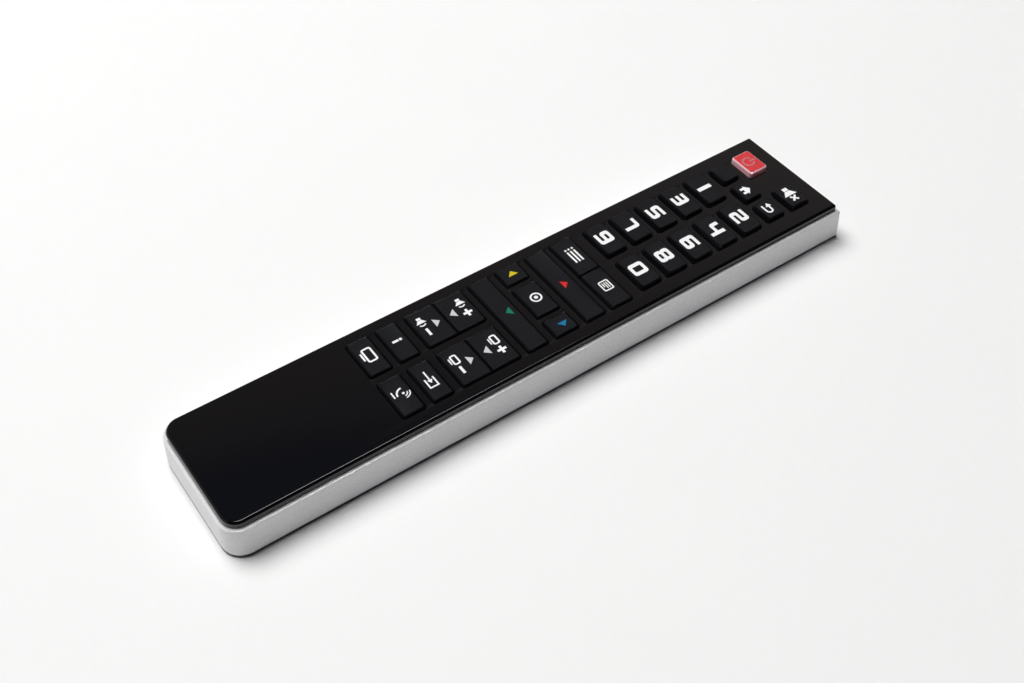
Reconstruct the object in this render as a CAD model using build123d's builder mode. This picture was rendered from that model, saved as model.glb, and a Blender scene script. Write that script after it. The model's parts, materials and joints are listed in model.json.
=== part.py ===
# Slim infrared remote control: gloss faceplate, silver frame, rear cover, sprung keys and AAA cells.
# Frame: millimetres, origin at the middle of the footprint on the table, +Y towards the infrared end,
# +Z up through the keys.
from build123d import *
from math import atan, degrees
import os

os.makedirs("parts", exist_ok=True)

# Overall outline
plate_width = 42.4
plate_length = 219.5
plate_near_radius = 4.8
plate_far_cut = 0.3
rim_step = 1.2
frame_flare = 0.6
frame_far_cut = 0.6
band_height = 1.2
band_inset = 0.05
frame_height = 10.1
plate_rise = 2.6

# Faceplate
skin = 1.4
skirt_wall = 1.4
skirt_depth = 1.0
plate_edge_chamfer = 0.4
plate_recess_gap = 0.15

# Silver frame
frame_wall_inset = 0.2
shelf_width = 1.8
rim_edge_chamfer = 0.3
snap_count = 5
snap_length = 7.0
snap_reach = 0.5
snap_height = 1.0
snap_level = 2.6
snap_clearance = 0.2

# Keys
key_opening_gap = 0.3
upper_corner_cut = 0.7
lower_corner_cut = 0.4
top_cut_share = 0.85
key_side_inset = 0.45
key_edge_chamfer = 0.18
key_slit = 0.35
slit_side_inset = 0.22
digit_rise = 1.35
lower_rise = 0.8
power_rise = 1.65
power_side_inset = 0.15
power_edge_chamfer = 0.35
key_travel = 0.8
flange_gap = 0.1
flange_thickness = 0.8
flange_reach = 0.6
stem_side_inset = 2.2
stem_end_share = 0.28
stem_end_gap = 0.1

# Key rows, from the infrared end down: the gap under each row, and the keys' shares of what the gaps leave
far_margin = 6.55
near_margin = 1.34
gap_under_power = 3.2
gap_under_small = 3.2
digit_row_gap = 2.6
gap_under_digits = 4.55
gap_under_guide = 2.3
gap_around_ok = 2.8
gap_under_bars = 2.7
gap_under_rockers = 3.1
gap_under_info = 2.6
digit_row_count = 5
power_share = 7.5
small_share = 6.8
digit_share = 7.75
guide_share = 8.0
bar_share = 7.2
ok_share = 8.4
rocker_share = 9.93
info_share = 6.9
input_share = 7.4

# Key columns: margins to the faceplate's long sides, and the widths and gaps that stay
column_gap = 3.3
digit_side_margin = 5.8
wide_side_margin = 4.75
side_key_width = 7.4
ok_side_gap = 2.25
small_side_margin = 6.15
small_key_gap = 2.6
power_side_margin = 6.1
power_key_width = 10.3

# Keypad mat, circuit board and what it carries
board_thickness = 1.2
board_inset = 0.8
board_end_gap = 1.1
mat_thickness = 0.8
mat_shelf_gap = 0.4
collar_height = 0.6
collar_wall = 0.8
collar_flange_gap = 0.3
stem_clearance = 0.4
pad_thickness = 0.1
pad_margin = 0.3
chip_length = 12.8
chip_width = 7.4
chip_height = 2.1
chip_standoff = 0.2
chip_lead_count = 8
chip_lead_pitch = 1.27
chip_lead_width = 0.45
chip_lead_reach = 1.3
chip_lead_thickness = 0.25
resonator_length = 7.0
resonator_width = 3.0
resonator_height = 3.4
resonator_edge = 0.35
resonator_corner_cut = 0.7
capacitor_radius = 2.5
capacitor_length = 7.0
capacitor_edge = 0.35

# Infrared emitter and its window
led_radius = 2.5
led_length = 8.6
led_nose_radius = 1.3
led_nose_bend = 0.7
led_shoulder_bend = 1.6
led_flange_radius = 2.9
led_flange_thickness = 1.0
led_board_gap = 0.2
led_window_gap = 0.5
lead_side = 0.5
lead_pitch = 2.54
lead_run = 2.0
window_width = 12.0
window_height = 4.2
window_lip = 0.6
window_lip_thickness = 1.0
window_corner_cut = 0.7
window_side_gap = 0.3

# Battery bay
cell_radius = 5.25
cell_length = 44.5
nub_radius = 1.9
nub_height = 0.8
cell_edge_chamfer = 0.4
cell_gap = 0.15
trough_wall = 1.2
trough_end_gap = 0.3
trough_top_gap = 0.1
contact_thickness = 0.4
contact_width = 8.0
contact_height = 7.0
tab_width = 3.0
tab_clearance = 0.2
tab_overlap = 2.5
spring_length = 4.5
spring_wire_radius = 0.3
spring_base_radius = 3.4
spring_tip_radius = 2.2
spring_turns = 3

# Rear cover and door
cover_wall = 1.2
cover_wall_gap = 0.2
cover_wall_height = 4.4
cover_edge_chamfer = 0.2
deck_thickness = 1.2
rib_thickness = 1.2
rib_inset = 4.4
cross_rib_height = 2.0
cross_rib_count = 7
door_screw_margin = 0.1
door_rail_reach = 1.0
door_gap = 0.2
door_recess = 0.1
door_lip = 0.5
door_slip = 0.1
door_end_margin = 1.6
grip_ridge_count = 6
grip_ridge_pitch = 1.6
grip_ridge_width = 0.8
grip_depth = 0.3
grip_width = 14.0
grip_margin = 4.0

# Screws
screw_shank_radius = 0.8
screw_head_radius = 1.8
screw_head_height = 1.2
screw_slot_width = 0.5
screw_slot_depth = 0.5
screw_hole_gap = 0.05
screw_pass_gap = 0.35
screw_head_gap = 0.2
screw_tip_gap = 0.5
boss_radius = 2.2
cover_boss_radius = 2.6
cover_boss_height = 2.6
boss_gap = 0.1

# How far each cut runs past what it cuts
overrun = 1.0

# Levels, worked out from the sizes above
rim_top = band_height + frame_height
plate_top = rim_top + plate_rise
plate_seat = rim_top - skirt_depth
skin_bottom = plate_top - skin
flange_top = skin_bottom - flange_gap
flange_bottom = flange_top - flange_thickness
collar_top = flange_bottom - key_travel - collar_flange_gap
mat_top = collar_top - collar_height
board_top = mat_top - mat_thickness
board_bottom = board_top - board_thickness
led_level = board_bottom - led_board_gap - led_flange_radius
stem_bottom = board_top + pad_thickness + key_travel + stem_end_gap
deck_top = band_height + deck_thickness
door_top = band_height - door_slip
cell_level = door_top + cell_gap + cell_radius
near_edge = -plate_length / 2
far_edge = plate_length / 2
base_growth = rim_step + frame_flare
band_growth = base_growth - band_inset
inner_growth = -frame_wall_inset
shelf_growth = inner_growth - shelf_width
cover_growth = inner_growth - cover_wall_gap
draft_angle = degrees(atan(frame_flare / frame_height))

# Battery bay lengths, worked out from the cells
cell_offset = cell_radius + cell_gap
trough_half_width = 2 * cell_offset + trough_wall
trough_start = near_edge - shelf_growth + trough_end_gap
bay_near = trough_start + trough_wall
bay_far = bay_near + cell_length + spring_length + 2 * contact_thickness
trough_end = bay_far + trough_wall
trough_top = skin_bottom - trough_top_gap
board_near = trough_end + board_end_gap
board_far = far_edge + shelf_growth - mat_shelf_gap
board_half_width = plate_width / 2 - board_inset
door_end = trough_end + door_end_margin
door_start = near_edge - band_growth
screw_offset = trough_half_width + boss_gap + boss_radius
screw_place = (bay_near + bay_far) / 2
screw_places = [(-screw_offset, screw_place), (screw_offset, screw_place)]
door_half_width = screw_offset + screw_head_radius + screw_head_gap + door_screw_margin


def plan_outline(growth, far_cut):
    """Draw the faceplate's outline, grown by a distance, in the sketch that is open."""
    Rectangle(plate_width + 2 * growth, plate_length + 2 * growth)
    near_radius = plate_near_radius + growth
    fillet(vertices().group_by(Axis.Y)[0], radius=near_radius)
    if far_cut > 0:
        chamfer(vertices().group_by(Axis.Y)[-1], length=far_cut)


def slab(growth, low, high, far_cut=0, mode=Mode.ADD, draft=0):
    """Add or cut a slab of the plan outline between two levels."""
    with BuildSketch(Plane.XY.offset(low)) as plan:
        plan_outline(growth, far_cut)
    extrude(plan.sketch, amount=high - low, taper=draft, mode=mode)


def block(low_corner, high_corner, mode=Mode.ADD):
    """Add or cut a box between two corners."""
    x_low, y_low, z_low = low_corner
    x_high, y_high, z_high = high_corner
    with Locations(((x_low + x_high) / 2, (y_low + y_high) / 2, (z_low + z_high) / 2)):
        Box(x_high - x_low, y_high - y_low, z_high - z_low, mode=mode)


def save(builder, name):
    """Label a finished piece and write it."""
    builder.part.label = name
    export_step(builder.part, f"parts/{name}.step")


class Key:
    """One key's footprint at the faceplate, and how its sides lean in."""

    def __init__(self, name, x_low, x_high, y_low, length, rise, inset=key_side_inset):
        self.name = name
        self.low = (x_low, y_low)
        self.high = (x_high, y_low + length)
        self.rise = rise
        self.inset = inset
        self.slit_sides = ()
        self.corner_cut = lower_corner_cut
        stem_end_inset = stem_end_share * length
        self.stem_low = (x_low + stem_side_inset, y_low + stem_end_inset)
        self.stem_high = (x_high - stem_side_inset, y_low + length - stem_end_inset)

    def grown(self, reach, slit_reach=0):
        """Corners of the footprint grown by a reach, with its own reach at a shared slit."""
        sides = {"left": reach, "right": reach, "near": reach, "far": reach}
        for side in self.slit_sides:
            sides[side] = slit_reach
        low = (self.low[0] - sides["left"], self.low[1] - sides["near"])
        high = (self.high[0] + sides["right"], self.high[1] + sides["far"])
        return low, high


# Key lengths: the rows share what the gaps leave between the far margin and the board's near end
row_gaps = (gap_under_power + gap_under_small + (digit_row_count - 1) * digit_row_gap + gap_under_digits
            + gap_under_guide + 2 * gap_around_ok + gap_under_bars + key_slit + gap_under_rockers
            + gap_under_info)
row_shares = (power_share + small_share + digit_row_count * digit_share + guide_share + 2 * bar_share
              + ok_share + 2 * rocker_share + info_share + input_share)
length_per_share = (far_edge - far_margin - board_near - near_margin - row_gaps) / row_shares
power_key_length = power_share * length_per_share
small_key_length = small_share * length_per_share
digit_key_length = digit_share * length_per_share
guide_key_length = guide_share * length_per_share
bar_key_length = bar_share * length_per_share
ok_key_length = ok_share * length_per_share
rocker_key_length = rocker_share * length_per_share
info_key_length = info_share * length_per_share
input_key_length = input_share * length_per_share

# Rows, from the infrared end down
power_row = far_edge - far_margin - power_key_length
small_row = power_row - gap_under_power - small_key_length
digit_pitch = digit_key_length + digit_row_gap
first_digit_row = small_row - gap_under_small - digit_key_length
last_digit_row = first_digit_row - (digit_row_count - 1) * digit_pitch
guide_row = last_digit_row - gap_under_digits - guide_key_length
up_row = guide_row - gap_under_guide - bar_key_length
ok_row = up_row - gap_around_ok - ok_key_length
down_row = ok_row - gap_around_ok - bar_key_length
rocker_up_row = down_row - gap_under_bars - rocker_key_length
rocker_down_row = rocker_up_row - key_slit - rocker_key_length
info_row = rocker_down_row - gap_under_rockers - info_key_length
input_row = info_row - gap_under_info - input_key_length

# Columns
inner_edge = column_gap / 2
bar_half_width = plate_width / 2 - wide_side_margin
wide_key_width = bar_half_width - inner_edge
digit_key_width = plate_width / 2 - digit_side_margin - inner_edge
ok_half_width = bar_half_width - side_key_width - ok_side_gap
small_key_width = (plate_width - 2 * small_side_margin - 2 * small_key_gap) / 3
small_key_pitch = small_key_width + small_key_gap
power_outer_edge = plate_width / 2 - power_side_margin


def column_pair(left_name, right_name, y_low, length, width, rise):
    """Two keys side by side, one in each column."""
    left = Key(left_name, -inner_edge - width, -inner_edge, y_low, length, rise)
    right = Key(right_name, inner_edge, inner_edge + width, y_low, length, rise)
    return [left, right]


def small_key(name, x_centre):
    """One key of the row of three small keys."""
    x_low = x_centre - small_key_width / 2
    return Key(name, x_low, x_low + small_key_width, small_row, small_key_length, digit_rise)


keys = [
    Key("key_power", -power_outer_edge, power_key_width - power_outer_edge, power_row,
        power_key_length, power_rise, power_side_inset),
    Key("key_mute", power_outer_edge - power_key_width, power_outer_edge, power_row,
        power_key_length, digit_rise),
    small_key("key_plain", -small_key_pitch),
    small_key("key_home", 0),
    small_key("key_exit", small_key_pitch),
]
for row in range(digit_row_count):
    left_digit = 2 * row + 1
    right_digit = (2 * row + 2) % 10
    keys += column_pair(f"key_{left_digit}", f"key_{right_digit}", first_digit_row - row * digit_pitch,
                        digit_key_length, digit_key_width, digit_rise)
for key in keys:
    key.corner_cut = upper_corner_cut

guide_keys = [
    Key("key_guide", -bar_half_width, -key_slit / 2, guide_row, guide_key_length, lower_rise),
    Key("key_text", key_slit / 2, bar_half_width, guide_row, guide_key_length, lower_rise),
]
guide_keys[0].slit_sides = ("right",)
guide_keys[1].slit_sides = ("left",)

cursor_keys = [
    Key("key_up", -bar_half_width, bar_half_width, up_row, bar_key_length, lower_rise),
    Key("key_left", -bar_half_width, side_key_width - bar_half_width, ok_row, ok_key_length, lower_rise),
    Key("key_ok", -ok_half_width, ok_half_width, ok_row, ok_key_length, lower_rise),
    Key("key_right", bar_half_width - side_key_width, bar_half_width, ok_row, ok_key_length, lower_rise),
    Key("key_down", -bar_half_width, bar_half_width, down_row, bar_key_length, lower_rise),
]

rocker_up = column_pair("key_volume_up", "key_channel_up", rocker_up_row,
                        rocker_key_length, wide_key_width, lower_rise)
rocker_down = column_pair("key_volume_down", "key_channel_down", rocker_down_row,
                          rocker_key_length, wide_key_width, lower_rise)
for key in rocker_up:
    key.slit_sides = ("near",)
for key in rocker_down:
    key.slit_sides = ("far",)

info_keys = column_pair("key_info", "key_source", info_row, info_key_length, wide_key_width, lower_rise)
input_keys = column_pair("key_television", "key_satellite", input_row,
                         input_key_length, wide_key_width, lower_rise)

keys += guide_keys + cursor_keys + rocker_up + rocker_down + info_keys + input_keys

# Faceplate openings: one for each key, or one for two keys that share a slit
openings = [(key.low, key.high, key.corner_cut) for key in keys if not key.slit_sides]
for first, second in [guide_keys, (rocker_down[0], rocker_up[0]), (rocker_down[1], rocker_up[1])]:
    openings.append((first.low, second.high, first.corner_cut))


def cut_patch(low, high, cut):
    """Draw a rectangle with cut corners between two corners in the sketch that is open."""
    x_low, y_low = low
    x_high, y_high = high
    Polygon((x_low + cut, y_low), (x_high - cut, y_low), (x_high, y_low + cut), (x_high, y_high - cut),
            (x_high - cut, y_high), (x_low + cut, y_high), (x_low, y_high - cut), (x_low, y_low + cut),
            align=None)


# Faceplate: gloss skin with a skirt, the key openings and two screw bosses
with BuildPart() as faceplate:
    slab(0, plate_seat, plate_top, plate_far_cut)
    chamfer(faces().sort_by(Axis.Z)[-1].edges(), length=plate_edge_chamfer)
    slab(-skirt_wall, plate_seat, skin_bottom, mode=Mode.SUBTRACT)
    with BuildSketch(Plane.XY.offset(skin_bottom)):
        with Locations(*screw_places):
            Circle(boss_radius)
    extrude(amount=-(skin_bottom - deck_top - cover_boss_height - boss_gap))
    with BuildSketch(Plane.XY.offset(deck_top + cover_boss_height)):
        with Locations(*screw_places):
            Circle(screw_shank_radius + screw_hole_gap)
    extrude(amount=skin_bottom - deck_top - cover_boss_height - boss_gap, mode=Mode.SUBTRACT)
    with BuildSketch(Plane.XY.offset(skin_bottom - overrun)):
        for low, high, corner_cut in openings:
            low = (low[0] - key_opening_gap, low[1] - key_opening_gap)
            high = (high[0] + key_opening_gap, high[1] + key_opening_gap)
            cut_patch(low, high, corner_cut + key_opening_gap / 2)
    extrude(amount=skin + 2 * overrun, mode=Mode.SUBTRACT)
save(faceplate, "faceplate")

# Window opening in the far end wall, level with the emitter
window_low = (-window_width / 2, led_level - window_height / 2)
window_high = (window_width / 2, led_level + window_height / 2)

# Snap hooks of the rear cover, and the slots that they click into
snap_first = near_edge + plate_near_radius + snap_length
snap_step = (plate_length - 2 * plate_near_radius - 2 * snap_length) / (snap_count - 1)
snap_places = [snap_first + index * snap_step for index in range(snap_count)]
snap_low = band_height + snap_level

# Silver frame: drafted ring with a rim, a shelf under the faceplate and the window opening
with BuildPart() as silver_frame:
    slab(base_growth, band_height, rim_top, frame_far_cut, draft=draft_angle)
    chamfer(faces().sort_by(Axis.Z)[-1].edges(), length=rim_edge_chamfer)
    slab(inner_growth, band_height, board_top, mode=Mode.SUBTRACT)
    slab(shelf_growth, board_top, plate_seat, mode=Mode.SUBTRACT)
    slab(plate_recess_gap, plate_seat, rim_top, plate_far_cut, mode=Mode.SUBTRACT)
    for side in (-1, 1):
        for place in snap_places:
            inner = side * (plate_width / 2 + inner_growth - overrun)
            outer = side * (plate_width / 2 + cover_growth + snap_reach + 2 * snap_clearance)
            block((min(inner, outer), place - snap_length / 2 - snap_clearance, snap_low - snap_clearance),
                  (max(inner, outer), place + snap_length / 2 + snap_clearance,
                   snap_low + snap_height + snap_clearance), mode=Mode.SUBTRACT)
    with BuildSketch(Plane.XZ.offset(-(far_edge + inner_growth - overrun))):
        cut_patch(window_low, window_high, window_corner_cut)
    extrude(amount=-(base_growth + frame_wall_inset + 2 * overrun), mode=Mode.SUBTRACT)
save(silver_frame, "silver_frame")

# Infrared window: fills the opening flush with the drafted face, with a lip inside
with BuildPart() as ir_window:
    with BuildSketch(Plane.XZ.offset(-(far_edge + inner_growth))):
        cut_patch(window_low, window_high, window_corner_cut)
    extrude(amount=-(base_growth + frame_wall_inset + overrun))
    slab(base_growth, band_height, rim_top, frame_far_cut, mode=Mode.INTERSECT, draft=draft_angle)
    with BuildSketch(Plane.XZ.offset(-(far_edge + inner_growth))):
        cut_patch((window_low[0] - window_lip, window_low[1] - window_lip),
                  (window_high[0] + window_lip, window_high[1] + window_lip), window_corner_cut)
    extrude(amount=window_lip_thickness)
save(ir_window, "ir_window")

# Rear cover: floor, wall with snap hooks, ribs under the board, battery trough and door rails
window_notch = window_width / 2 + window_lip + window_side_gap
with BuildPart() as rear_cover:
    slab(band_growth, 0, band_height, frame_far_cut)
    chamfer(faces().sort_by(Axis.Z)[0].edges(), length=cover_edge_chamfer)
    slab(cover_growth, band_height, band_height + cover_wall_height)
    slab(cover_growth - cover_wall, band_height, band_height + cover_wall_height, mode=Mode.SUBTRACT)
    block((-window_notch, far_edge + cover_growth - cover_wall - overrun, band_height),
          (window_notch, far_edge, band_height + cover_wall_height), mode=Mode.SUBTRACT)
    for side in (-1, 1):
        for place in snap_places:
            inner = side * (plate_width / 2 + cover_growth - cover_wall / 2)
            outer = side * (plate_width / 2 + cover_growth + snap_reach)
            block((min(inner, outer), place - snap_length / 2, snap_low),
                  (max(inner, outer), place + snap_length / 2, snap_low + snap_height))
        rib = side * (plate_width / 2 - rib_inset)
        block((rib - rib_thickness / 2, board_near, 0), (rib + rib_thickness / 2, board_far, board_bottom))
    for index in range(cross_rib_count):
        place = board_near + (index + 0.5) * (board_far - board_near) / cross_rib_count
        block((-plate_width / 2 + rib_inset, place - rib_thickness / 2, 0),
              (plate_width / 2 - rib_inset, place + rib_thickness / 2, band_height + cross_rib_height))
    block((-plate_width / 2 - cover_growth, near_edge - cover_growth + plate_near_radius, 0),
          (plate_width / 2 + cover_growth, door_end + cover_wall, deck_top))
    block((-trough_half_width, trough_start, 0), (trough_half_width, trough_end, trough_top))
    with BuildSketch(Plane.XY):
        with Locations(*screw_places):
            Circle(cover_boss_radius)
    extrude(amount=deck_top + cover_boss_height)
    # Cells' space, shaped to the two cells from above
    with BuildSketch(Plane.XZ.offset(-bay_near)):
        with Locations((-cell_offset, cell_level), (cell_offset, cell_level)):
            Circle(cell_radius + cell_gap)
        with Locations((0, cell_level / 2)):
            Rectangle(4 * cell_offset, cell_level)
    extrude(amount=-(bay_far - bay_near), mode=Mode.SUBTRACT)
    # Door opening, open at the near end, with a groove for the door's rails on each side
    block((-door_half_width, door_start - overrun, -overrun),
          (door_half_width, door_end, band_height), mode=Mode.SUBTRACT)
    block((-door_half_width - door_rail_reach, door_start - overrun, door_lip),
          (door_half_width + door_rail_reach, door_end, band_height), mode=Mode.SUBTRACT)
    # Slots for the contact tabs
    for side in (-1, 1):
        slot = side * cell_offset
        block((slot - tab_width / 2 - tab_clearance, bay_far - overrun,
               board_bottom - contact_thickness - tab_clearance),
              (slot + tab_width / 2 + tab_clearance, trough_end + overrun, board_bottom + tab_clearance),
              mode=Mode.SUBTRACT)
    # Screw holes with counterbores from below
    with BuildSketch(Plane.XY.offset(-overrun)):
        with Locations(*screw_places):
            Circle(screw_shank_radius + screw_pass_gap)
    extrude(amount=deck_top + cover_boss_height + 2 * overrun, mode=Mode.SUBTRACT)
    with BuildSketch(Plane.XY):
        with Locations(*screw_places):
            Circle(screw_head_radius + screw_head_gap)
    extrude(amount=deck_top + cover_boss_height - screw_head_height, mode=Mode.SUBTRACT)
save(rear_cover, "rear_cover")

# Battery door: slides out of the near end on its rails
with BuildPart() as battery_door:
    slab(band_growth, door_recess, door_top, frame_far_cut)
    block((-door_half_width + door_gap, door_start - overrun, door_recess),
          (door_half_width - door_gap, door_end - door_gap, door_top), mode=Mode.INTERSECT)
    rail_low = door_lip + door_slip
    for side in (-1, 1):
        inner = side * (door_half_width - 2 * door_gap)
        outer = side * (door_half_width + door_rail_reach - door_gap)
        block((min(inner, outer), near_edge - cover_growth, rail_low),
              (max(inner, outer), door_end - door_gap, door_top))
    for index in range(grip_ridge_count):
        place = door_end - grip_margin - index * grip_ridge_pitch
        block((-grip_width / 2, place - grip_ridge_width / 2, door_recess),
              (grip_width / 2, place + grip_ridge_width / 2, door_recess + grip_depth), mode=Mode.SUBTRACT)
save(battery_door, "battery_door")

# Keys: leaning cap, straight waist in the opening, retaining flange and stem
for key in keys:
    base_low, base_high = key.low, key.high
    top_low, top_high = key.grown(-key.inset, -slit_side_inset)
    flange_low, flange_high = key.grown(flange_reach)
    with BuildPart() as key_cap:
        with BuildSketch(Plane.XY.offset(flange_top)):
            cut_patch(base_low, base_high, key.corner_cut)
        extrude(amount=plate_top - flange_top)
        with BuildSketch(Plane.XY.offset(plate_top)):
            cut_patch(base_low, base_high, key.corner_cut)
        with BuildSketch(Plane.XY.offset(plate_top + key.rise)):
            cut_patch(top_low, top_high, key.corner_cut * top_cut_share)
        loft(ruled=True)
        top_edge = power_edge_chamfer if key.name == "key_power" else key_edge_chamfer
        chamfer(faces().sort_by(Axis.Z)[-1].edges(), length=top_edge)
        block((*flange_low, flange_bottom), (*flange_high, flange_top))
        block((*key.stem_low, stem_bottom), (*key.stem_high, flange_bottom))
    save(key_cap, key.name)

# Keypad mat: rubber sheet on the board with a collar round each stem
mat_half_width = plate_width / 2 + shelf_growth - mat_shelf_gap
mat_near = input_row - collar_wall - stem_clearance


def stem_patches(reach):
    """Draw every stem's rectangle, grown by a reach, in the sketch that is open."""
    for key in keys:
        (x_low, y_low), (x_high, y_high) = key.stem_low, key.stem_high
        with Locations(((x_low + x_high) / 2, (y_low + y_high) / 2)):
            Rectangle(x_high - x_low + 2 * reach, y_high - y_low + 2 * reach)


with BuildPart() as keypad_mat:
    block((-mat_half_width, mat_near, board_top), (mat_half_width, board_far, mat_top))
    with BuildSketch(Plane.XY.offset(mat_top)):
        stem_patches(stem_clearance + collar_wall)
    extrude(amount=collar_height)
    with BuildSketch(Plane.XY.offset(board_top)):
        stem_patches(stem_clearance)
    extrude(amount=mat_thickness + collar_height, mode=Mode.SUBTRACT)
save(keypad_mat, "keypad_mat")

# Circuit board, clamped between the cover's ribs and the frame's shelf
with BuildPart() as circuit_board:
    block((-board_half_width, board_near, board_bottom), (board_half_width, board_far, board_top))
save(circuit_board, "circuit_board")

# Contact pads printed on the board, one under each stem
with BuildPart() as contact_pads:
    with BuildSketch(Plane.XY.offset(board_top)):
        stem_patches(pad_margin)
    extrude(amount=pad_thickness)
save(contact_pads, "contact_pads")

# Controller chip under the board, with bent leads on both long sides
chip_place = ok_row
chip_top = board_bottom - chip_standoff
with BuildPart() as controller_chip:
    block((-chip_width / 2, chip_place - chip_length / 2, chip_top - chip_height),
          (chip_width / 2, chip_place + chip_length / 2, chip_top))
    for side in (-1, 1):
        for index in range(chip_lead_count):
            place = chip_place + (index - (chip_lead_count - 1) / 2) * chip_lead_pitch
            inner = side * (chip_width / 2 - chip_lead_thickness)
            outer = side * (chip_width / 2 + chip_lead_reach)
            knee = side * (chip_width / 2 + chip_lead_reach / 2)
            mid = chip_top - chip_height / 2
            with BuildSketch(Plane.XZ.offset(-(place - chip_lead_width / 2))):
                with BuildLine():
                    Polyline((inner, mid), (knee, mid), (knee, board_bottom - chip_lead_thickness),
                             (outer, board_bottom - chip_lead_thickness), (outer, board_bottom),
                             (knee - side * chip_lead_thickness, board_bottom),
                             (knee - side * chip_lead_thickness, mid + chip_lead_thickness),
                             (inner, mid + chip_lead_thickness), close=True)
                make_face()
            extrude(amount=-chip_lead_width)
save(controller_chip, "controller_chip")

# Ceramic resonator under the board
resonator_place = rocker_up_row
with BuildPart() as resonator:
    with BuildSketch(Plane.XY.offset(board_bottom)):
        cut_patch((-resonator_length / 2, resonator_place - resonator_width / 2),
                  (resonator_length / 2, resonator_place + resonator_width / 2), resonator_corner_cut)
    extrude(amount=-resonator_height)
    chamfer(faces().sort_by(Axis.Z)[0].edges(), length=resonator_edge)
save(resonator, "resonator")

# Smoothing capacitor, lying under the board
capacitor_place = board_near + (board_far - board_near) / cross_rib_count
with BuildPart() as smoothing_capacitor:
    with BuildSketch(Plane.YZ.offset(-capacitor_length / 2)):
        with Locations((capacitor_place, board_bottom - capacitor_radius)):
            Circle(capacitor_radius)
    extrude(amount=capacitor_length)
    chamfer(faces().sort_by(Axis.X)[-1].edges(), length=capacitor_edge)
save(smoothing_capacitor, "smoothing_capacitor")

# Infrared emitter: flanged lens that points at the window
led_tip = far_edge + inner_growth - window_lip_thickness - led_window_gap
led_base = led_tip - led_length
with BuildPart() as ir_led:
    with BuildSketch(Plane.YZ):
        with BuildLine():
            Polyline((led_tip, led_level), (led_tip - led_nose_bend, led_level + led_nose_radius),
                     (led_tip - led_shoulder_bend, led_level + led_radius),
                     (led_base + led_flange_thickness, led_level + led_radius),
                     (led_base + led_flange_thickness, led_level + led_flange_radius),
                     (led_base, led_level + led_flange_radius), (led_base, led_level), close=True)
        make_face()
    revolve(axis=Axis((0, led_base, led_level), (0, 1, 0)))
save(ir_led, "ir_led")

# Emitter's two leads, bent up to the board
with BuildPart() as led_leads:
    for side in (-1, 1):
        x_low = side * lead_pitch / 2 - lead_side / 2
        block((x_low, led_base - lead_run, led_level - lead_side / 2),
              (x_low + lead_side, led_base, led_level + lead_side / 2))
        block((x_low, led_base - lead_run, led_level - lead_side / 2),
              (x_low + lead_side, led_base - lead_run + lead_side, board_bottom))
save(led_leads, "led_leads")


def make_cell(x_centre, start, side, name):
    """One AAA cell; side is 1 with its nub towards the infrared end, or -1 the other way."""
    flat_end = start if side > 0 else start + cell_length
    body_length = cell_length - nub_height
    with BuildPart() as cell:
        with BuildSketch(Plane.XZ.offset(-flat_end)):
            with Locations((x_centre, cell_level)):
                Circle(cell_radius)
        extrude(amount=-side * body_length)
        chamfer(edges().filter_by(GeomType.CIRCLE), length=cell_edge_chamfer)
        with BuildSketch(Plane.XZ.offset(-(flat_end + side * body_length))):
            with Locations((x_centre, cell_level)):
                Circle(nub_radius)
        extrude(amount=-side * nub_height)
    save(cell, name)


make_cell(-cell_offset, bay_near + contact_thickness + spring_length, 1, "cell_left")
make_cell(cell_offset, bay_near + contact_thickness, -1, "cell_right")


def make_spring(x_centre, base, side, name):
    """Conical contact spring from its plate to the cell's flat end."""
    lift = spring_length - 2 * spring_wire_radius
    start = (x_centre, base + side * spring_wire_radius, cell_level)
    cone = degrees(atan((spring_tip_radius - spring_base_radius) / lift))
    with BuildPart() as spring:
        with BuildLine() as coil:
            Helix(pitch=lift / spring_turns, height=lift, radius=spring_base_radius,
                  center=start, direction=(0, side, 0), cone_angle=cone)
        with BuildSketch(Plane(coil.line @ 0, z_dir=coil.line % 0)):
            RegularPolygon(radius=spring_wire_radius, side_count=4)
        sweep(is_frenet=True)
    turn_gap = lift / spring_turns - 2 * spring_wire_radius
    print(f"{name}: least gap between turns {turn_gap:.2f} mm")
    save(spring, name)


make_spring(-cell_offset, bay_near + contact_thickness, 1, "spring_near")
make_spring(cell_offset, bay_far - contact_thickness, -1, "spring_far")

# Contact plates: one that joins the cells at the near end, and two with tabs to the board
with BuildPart() as series_contact:
    block((-cell_offset - contact_width / 2, bay_near, cell_level - contact_height / 2),
          (cell_offset + contact_width / 2, bay_near + contact_thickness, cell_level))
    for side in (-1, 1):
        block((side * cell_offset - contact_width / 2, bay_near, cell_level),
              (side * cell_offset + contact_width / 2, bay_near + contact_thickness,
               cell_level + contact_height / 2))
save(series_contact, "series_contact")

for side, name in ((-1, "plus_contact"), (1, "minus_contact")):
    with BuildPart() as terminal:
        block((side * cell_offset - contact_width / 2, bay_far - contact_thickness,
               cell_level - contact_height / 2),
              (side * cell_offset + contact_width / 2, bay_far, cell_level + contact_height / 2))
        block((side * cell_offset - tab_width / 2, bay_far - contact_thickness,
               board_bottom - contact_thickness),
              (side * cell_offset + tab_width / 2, board_near + tab_overlap, board_bottom))
    save(terminal, name)

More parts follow.
